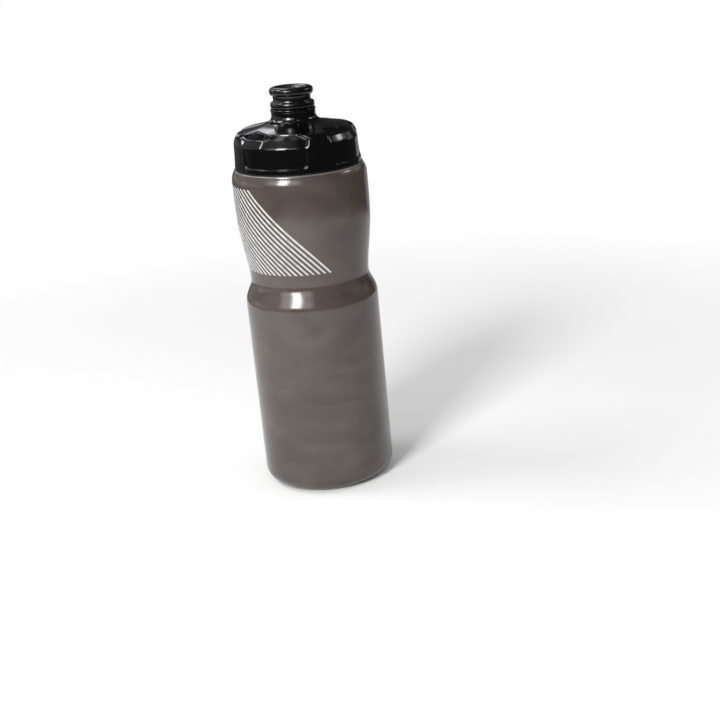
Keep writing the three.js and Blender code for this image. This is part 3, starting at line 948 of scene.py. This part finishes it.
def make_post(material):
    flange_top = INSERT_FOOT + INSERT_FLANGE
    corners = (
        (BORE_TUBE_RADIUS, INSERT_FOOT), (BORE_TUBE_RADIUS, flange_top),
        (INSERT_RADIUS, flange_top), (INSERT_RADIUS, INSERT_TOP),
        (INSERT_HOLE, INSERT_TOP), (INSERT_HOLE, INSERT_FOOT),
    )
    ring = rounded([(*corner, MOULD_EDGE) for corner in corners])
    plug_foot = PLUG_TOP - PLUG_HEIGHT
    dimple = PLUG_TOP - DIMPLE_DEPTH
    post = rounded([
        (0, INSERT_FOOT, 0), (POST_RADIUS, INSERT_FOOT, MOULD_EDGE),
        (POST_RADIUS, plug_foot - PLUG_FLARE, 0.3), (PLUG_RADIUS, plug_foot, 0.3),
        (PLUG_RADIUS, PLUG_TOP, 0.9), (DIMPLE_RADIUS, PLUG_TOP, 0.6),
        (DIMPLE_FLOOR, dimple, 0.4), (0, dimple, 0),
    ], closed=False)
    piece = add_mesh("valve_stem", *lathe(ring, INSERT_FACETS), LID_FOOT)
    others = [add_mesh("post", *lathe(post, INSERT_FACETS), LID_FOOT)]
    reach = (INSERT_HOLE + INSERT_RADIUS) / 2
    middle = (LID_FOOT + (INSERT_FOOT + INSERT_TOP) / 2) * MM
    size = (reach * MM, SPOKE_WIDTH * MM, (INSERT_TOP - INSERT_FOOT - 2 * SPOKE_DROP) * MM)
    for i in range(SPOKES):
        shape = bmesh.new()
        bmesh.ops.create_cube(shape, size=1, matrix=Matrix.Diagonal((*size, 1)))
        bmesh.ops.bevel(
            shape, geom=shape.edges[:], offset=SPOKE_EDGE * MM, segments=3, profile=0.5,
            affect="EDGES",
        )
        outwards = Matrix.Translation((reach * MM / 2, 0, middle))
        turned = Matrix.Rotation(TURN * i / SPOKES, 4, "Z") @ outwards
        bmesh.ops.transform(shape, matrix=turned, verts=shape.verts)
        spoke = bpy.data.meshes.new("spoke")
        shape.to_mesh(spoke)
        shape.free()
        others.append(add_object("spoke", spoke))
    unite(piece, others)
    finish_piece(piece, material, "lid", "valve_post")


def make_sleeve(material):
    groove_foot = SLEEVE_FOOT + COLLAR_HEIGHT
    groove_top = groove_foot + GROOVE_HEIGHT
    collar_top = groove_top + COLLAR_HEIGHT
    barb_foot = SLEEVE_TOP - BARB_HEIGHT
    outline = rounded([
        (COLLAR_RADIUS, SLEEVE_FOOT, MOULD_EDGE), (COLLAR_RADIUS, groove_foot, MOULD_EDGE),
        (GROOVE_RADIUS, groove_foot, MOULD_EDGE), (GROOVE_RADIUS, groove_top, MOULD_EDGE),
        (COLLAR_RADIUS, groove_top, MOULD_EDGE), (COLLAR_RADIUS, collar_top, MOULD_EDGE),
        (SLEEVE_RADIUS, collar_top, MOULD_EDGE), (SLEEVE_RADIUS, barb_foot, BARB_EDGE),
        (SLEEVE_RADIUS + BARB, barb_foot, BARB_EDGE), (SLEEVE_RADIUS, SLEEVE_TOP, BARB_EDGE),
        (SLEEVE_BORE, SLEEVE_TOP, SLEEVE_EDGE), (SLEEVE_BORE, SLEEVE_FOOT, SLEEVE_EDGE),
    ])
    piece = add_mesh("spout_tube", *lathe(outline, SPOUT_FACETS), LID_FOOT)
    finish_piece(piece, material, "spout", "nozzle_sleeve")


def make_oring(material):
    section = ORING_SECTION / 2
    middle = SLEEVE_FOOT + COLLAR_HEIGHT + GROOVE_HEIGHT / 2
    centre = (GROOVE_RADIUS + ORING_CLEAR + section, middle)
    outline = arc(centre, section, section, 0, TURN, steps=24)[:-1]
    piece = add_mesh("o_ring", *lathe(outline, SPOUT_FACETS), LID_FOOT)
    finish_piece(piece, material, "spout", "nozzle_oring")


def squared(value, power):
    """A sine or cosine pushed towards 1 or -1, which makes a round section squarer."""
    return math.copysign(abs(value) ** power, value)


def make_mouthpiece(material):
    half = FLANGE_THICK / 2
    outwards, upwards = FLANGE_POWERS
    steps = 22
    angles = [lerp(-math.pi / 2, math.pi / 2, i / steps) for i in range(steps + 1)]
    rim = [
        (
            FLANGE_RADIUS - FLANGE_ROUND + FLANGE_ROUND * squared(math.cos(angle), outwards),
            MOUTH_FOOT + half + half * squared(math.sin(angle), upwards),
        )
        for angle in angles
    ]
    head_foot = MOUTH_TOP - HEAD_HEIGHT
    neck = (WAIST_RADIUS, head_foot)
    widest = (HEAD_RADIUS, head_foot + HEAD_HEIGHT * HEAD_MIDDLE)
    first, second = WAIST_HANDLES
    waist = bezier(
        rim[-1], moved((WAIST_RADIUS, rim[-1][1]), first), moved(neck, second),
        moved(neck, (WAIST_TURN, 0)), steps=12,
    )
    first, second = UNDER_HANDLES
    under = bezier(
        waist[-1], moved(neck, first), moved(widest, second), moved(widest, (0, HEAD_LINE_FOOT)),
        steps=12,
    )
    line = [moved(widest, (-depth, rise)) for depth, rise in HEAD_LINE]
    line_top = line[-1][1]
    over = arc(
        (RIM_RADIUS, line_top), HEAD_RADIUS - RIM_RADIUS, MOUTH_TOP - line_top, OVER_START,
        math.pi / 2, steps=14,
    )
    dish_foot = MOUTH_TOP - MOUTH_DISH
    first, second = DISH_HANDLES
    dish = bezier(
        over[-1], moved((RIM_RADIUS, MOUTH_TOP), first), moved((HOLE_RADIUS, dish_foot), second),
        (HOLE_RADIUS + HOLE_TURN, dish_foot), steps=14,
    )
    barb_foot = SLEEVE_TOP - BARB_HEIGHT
    hole = rounded([
        (*dish[-1], 0), (HOLE_RADIUS, dish_foot - HOLE_DROP, 0.2),
        (HOLE_RADIUS, MOUTH_ROOF, 0.2), (MOUTH_BORE, MOUTH_ROOF, 0.2),
        (MOUTH_BORE + BARB, barb_foot, 0), (MOUTH_BORE + BARB, barb_foot - BARB_CLEAR, 0),
        (MOUTH_BORE, barb_foot - BARB_CLEAR, 0.1),
        (MOUTH_BORE, MOUTH_FOOT, 0.15), (*rim[0], 0),
    ], closed=False)
    outline = rim + waist + under + line + over + dish + hole[1:-1]
    piece = add_mesh("soft_mouthpiece", *lathe(outline, MOUTH_FACETS), LID_FOOT)
    finish_piece(piece, material, "spout", "mouthpiece")


# Stage

FLOOR_RADIUS = 0.62
FLOOR_SIDES = 96
FLOOR_CLEAR = (0.22, 0.58)
FLOOR_DROP = 0.0002
FLOOR_WHITE = 0.9

# Levels of the world: for the camera, through clear plastic, for everything else, and for gloss
# outside the patches
CAMERA_LEVEL = 1
THROUGH_LEVEL = 0.8
PLAIN_LEVEL = 0.5
DIM_STUDIO = 0.045

# Soft boxes, as (azimuth, elevation, width, height, power) in degrees, metres and watts, all at one
# distance and aimed at one height
BOX_DISTANCE = 1.1
AIM_HEIGHT = 0.19
SOFTBOXES = {
    "key_box": (-31, 25, 0.32, 0.62, 12.8),
    "left_box": (-102, 50, 0.5, 0.26, 3.6),
    "right_box": (100, 31, 0.22, 0.14, 0.8),
}

# The camera, with its pan to the right, its pitch down and its roll in degrees
CAMERA_PLACE = (0, -0.75314, 0.3192)
CAMERA_TURN = (9.76, 19.16, 2.85)
CAMERA_LENS = 67.52
CAMERA_SENSOR = 36
CAMERA_SHIFT = -0.25

# What gloss reflects of the studio, as (azimuth, half width, elevation, half height, softness) in
# degrees and a colour
REFLECTIONS = {
    "key_glow": (-32, 28, 24, 12, 8, (2.6, 2.55, 2.5)),
    "front_sky": (-45, 40, 46, 8, 10, (0.3, 0.29, 0.3)),
    "left_sky": (-100, 28, 27, 10, 10, (0.42, 0.41, 0.47)),
    "left_near": (-95, 22, 3, 5, 6, (0.7, 0.7, 0.72)),
    "left_bright": (-131, 6, 31, 9, 5, (4, 4, 4.1)),
    "left_low": (-130, 25, 0, 6, 8, (0.25, 0.25, 0.27)),
    "left_gap": (-156, 4, 15, 3, 4, (2.2, 2.2, 2.2)),
    "back_sky": (-168, 5, 46, 10, 4, (4.5, 4.5, 4.6)),
    "back_high": (-148, 8, 62, 5, 4, (3, 3, 3)),
    "back_grey": (-171, 6, 25, 7, 5, (0.38, 0.37, 0.42)),
    "back_low": (-176.5, 1.5, 4, 2, 2, (0.8, 0.8, 0.8)),
    "back_dim": (-178, 8, 40, 12, 6, (0.1, 0.1, 0.11)),
    "smear": (-175.3, 1, 22.5, 4.5, 2, (3, 3, 3)),
    "zenith": (-105, 30, 71, 4, 4, (2.2, 2.2, 2.3)),
    "overhead": (-30, 45, 82, 8, 6, (0.7, 0.7, 0.72)),
    "front_high": (28, 6, 58, 5, 5, (3, 3, 3)),
    "right_patch": (101, 15, 30, 6, 5, (1.1, 1.1, 1.1)),
    "right_low": (125, 10, 16, 4, 5, (0.5, 0.5, 0.5)),
    "right_card": (156, 12, -9, 6, 6, (0.4, 0.4, 0.4)),
}


def make_floor():
    """A white round floor. It keeps the bottle's shadow near by and fades into the white
    background further out."""
    mesh = bpy.data.meshes.new("floor")
    rim = [polar(FLOOR_RADIUS, TURN * k / FLOOR_SIDES, -FLOOR_DROP) for k in range(FLOOR_SIDES)]
    mesh.from_pydata(rim, [], [range(FLOOR_SIDES)])
    floor = add_object("floor", mesh)
    material, nodes, links, shader = new_material("floor_white", (FLOOR_WHITE,) * 3, 0.9)
    shader.inputs["Specular IOR Level"].default_value = 0
    place = nodes.new("ShaderNodeTexCoord")
    distance = nodes.new("ShaderNodeVectorMath")
    distance.operation = "LENGTH"
    links.new(place.outputs["Object"], distance.inputs[0])
    fade = spread(nodes, links, distance.outputs["Value"], 0, 1, *FLOOR_CLEAR)
    paths = nodes.new("ShaderNodeLightPath")
    seen = compute(nodes, links, "MULTIPLY", fade, paths.outputs["Is Camera Ray"])
    white = nodes.new("ShaderNodeEmission")
    mix = nodes.new("ShaderNodeMixShader")
    links.new(seen, mix.inputs["Fac"])
    links.new(shader.outputs["BSDF"], mix.inputs[1])
    links.new(white.outputs["Emission"], mix.inputs[2])
    links.new(mix.outputs["Shader"], nodes["Material Output"].inputs["Surface"])
    mesh.materials.append(material)


def window(nodes, links, angle, half, soft):
    """1 within half an opening of an angle, fading to 0. The angles are in degrees."""
    fade = nodes.new("ShaderNodeMapRange")
    fade.interpolation_type = "SMOOTHSTEP"
    fade.inputs["From Min"].default_value = math.radians(half + soft)
    fade.inputs["From Max"].default_value = math.radians(half - soft / 2)
    links.new(compute(nodes, links, "ABSOLUTE", angle), fade.inputs["Value"])
    return fade.outputs["Result"]


def reflected_studio(nodes, links):
    """The studio that gloss reflects: dim, with soft bright patches."""
    place = nodes.new("ShaderNodeTexCoord")
    axes = nodes.new("ShaderNodeSeparateXYZ")
    links.new(place.outputs["Generated"], axes.inputs["Vector"])
    height = compute(nodes, links, "ARCSINE", axes.outputs["Z"])
    studio = None
    for azimuth, half, elevation, half_height, soft, color in REFLECTIONS.values():
        turn = nodes.new("ShaderNodeVectorRotate")
        turn.rotation_type = "Z_AXIS"
        turn.inputs["Angle"].default_value = -math.radians(azimuth)
        links.new(place.outputs["Generated"], turn.inputs["Vector"])
        turned = nodes.new("ShaderNodeSeparateXYZ")
        links.new(turn.outputs["Vector"], turned.inputs["Vector"])
        back = compute(nodes, links, "MULTIPLY", turned.outputs["Y"], -1)
        across = compute(nodes, links, "ARCTAN2", turned.outputs["X"], back)
        along = compute(nodes, links, "SUBTRACT", height, math.radians(elevation))
        mask = compute(
            nodes, links, "MULTIPLY", window(nodes, links, across, half, soft),
            window(nodes, links, along, half_height, soft),
        )
        patch = nodes.new("ShaderNodeVectorMath")
        patch.operation = "SCALE"
        patch.inputs[0].default_value = color
        links.new(mask, patch.inputs["Scale"])
        total = nodes.new("ShaderNodeVectorMath")
        total.operation = "ADD"
        total.inputs[0].default_value = (DIM_STUDIO, DIM_STUDIO, DIM_STUDIO)
        if studio:
            links.new(studio, total.inputs[0])
        links.new(patch.outputs["Vector"], total.inputs[1])
        studio = total.outputs["Vector"]
    return studio


def make_world():
    """White for the camera, a little darker through clear plastic, the reflected studio for gloss,
    and a plain level for everything else."""
    world = bpy.data.worlds.new("studio")
    world.use_nodes = True
    bpy.context.scene.world = world
    nodes, links = world.node_tree.nodes, world.node_tree.links
    paths = nodes.new("ShaderNodeLightPath")
    seen = (PLAIN_LEVEL,) * 3
    for ray, level in (
        ("Is Glossy Ray", reflected_studio(nodes, links)),
        ("Is Transmission Ray", (THROUGH_LEVEL,) * 3),
        ("Is Camera Ray", (CAMERA_LEVEL,) * 3),
    ):
        seen = blend(nodes, links, paths.outputs[ray], seen, level)
    links.new(seen, nodes["Background"].inputs["Color"])


def add_softbox(name, azimuth, elevation, width, height, power):
    """A soft box that faces the bottle and isn't seen by the camera."""
    lamp = bpy.data.lights.new(name, "AREA")
    lamp.shape = "RECTANGLE"
    lamp.size, lamp.size_y = width, height
    lamp.energy = power
    box = add_object(name, lamp)
    aim = Vector((0, 0, AIM_HEIGHT))
    side = BOX_DISTANCE * math.cos(math.radians(elevation))
    rise = BOX_DISTANCE * math.sin(math.radians(elevation))
    box.location = aim + Vector(polar(side, math.radians(azimuth), rise))
    box.rotation_euler = (box.location - aim).to_track_quat("Z", "Y").to_euler()
    box.visible_camera = False


def make_camera():
    """The photograph's view: a short telephoto from a little above, leaning slightly."""
    pan, pitch, roll = (math.radians(angle) for angle in CAMERA_TURN)
    ahead = Vector((math.sin(pan), math.cos(pan), 0))
    right = Vector((math.cos(pan), -math.sin(pan), 0))
    view = ahead * math.cos(pitch) - Vector((0, 0, math.sin(pitch)))
    up = ahead * math.sin(pitch) + Vector((0, 0, math.cos(pitch)))
    rolled_right = right * math.cos(roll) - up * math.sin(roll)
    rolled_up = right * math.sin(roll) + up * math.cos(roll)
    data = bpy.data.cameras.new("camera")
    data.sensor_width = CAMERA_SENSOR
    data.lens = CAMERA_LENS
    data.shift_x = CAMERA_SHIFT
    camera = add_object("camera", data)
    turn = Matrix((rolled_right, rolled_up, -view)).transposed().to_4x4()
    camera.matrix_world = Matrix.Translation(CAMERA_PLACE) @ turn
    bpy.context.scene.camera = camera


make_camera()
make_floor()
make_world()
for name, place in SOFTBOXES.items():
    add_softbox(name, *place)
bpy.context.scene.view_settings.view_transform = "Standard"

smoke = smoke_plastic()
gloss = gloss_black()
satin = satin_black()
moulded = moulded_black()
rubber = seal_rubber()
ink = white_ink()
make_body(smoke)
make_stripes(ink)
make_lid(gloss)
make_seal(rubber)
make_post(moulded)
make_sleeve(moulded)
make_oring(rubber)
make_mouthpiece(satin)
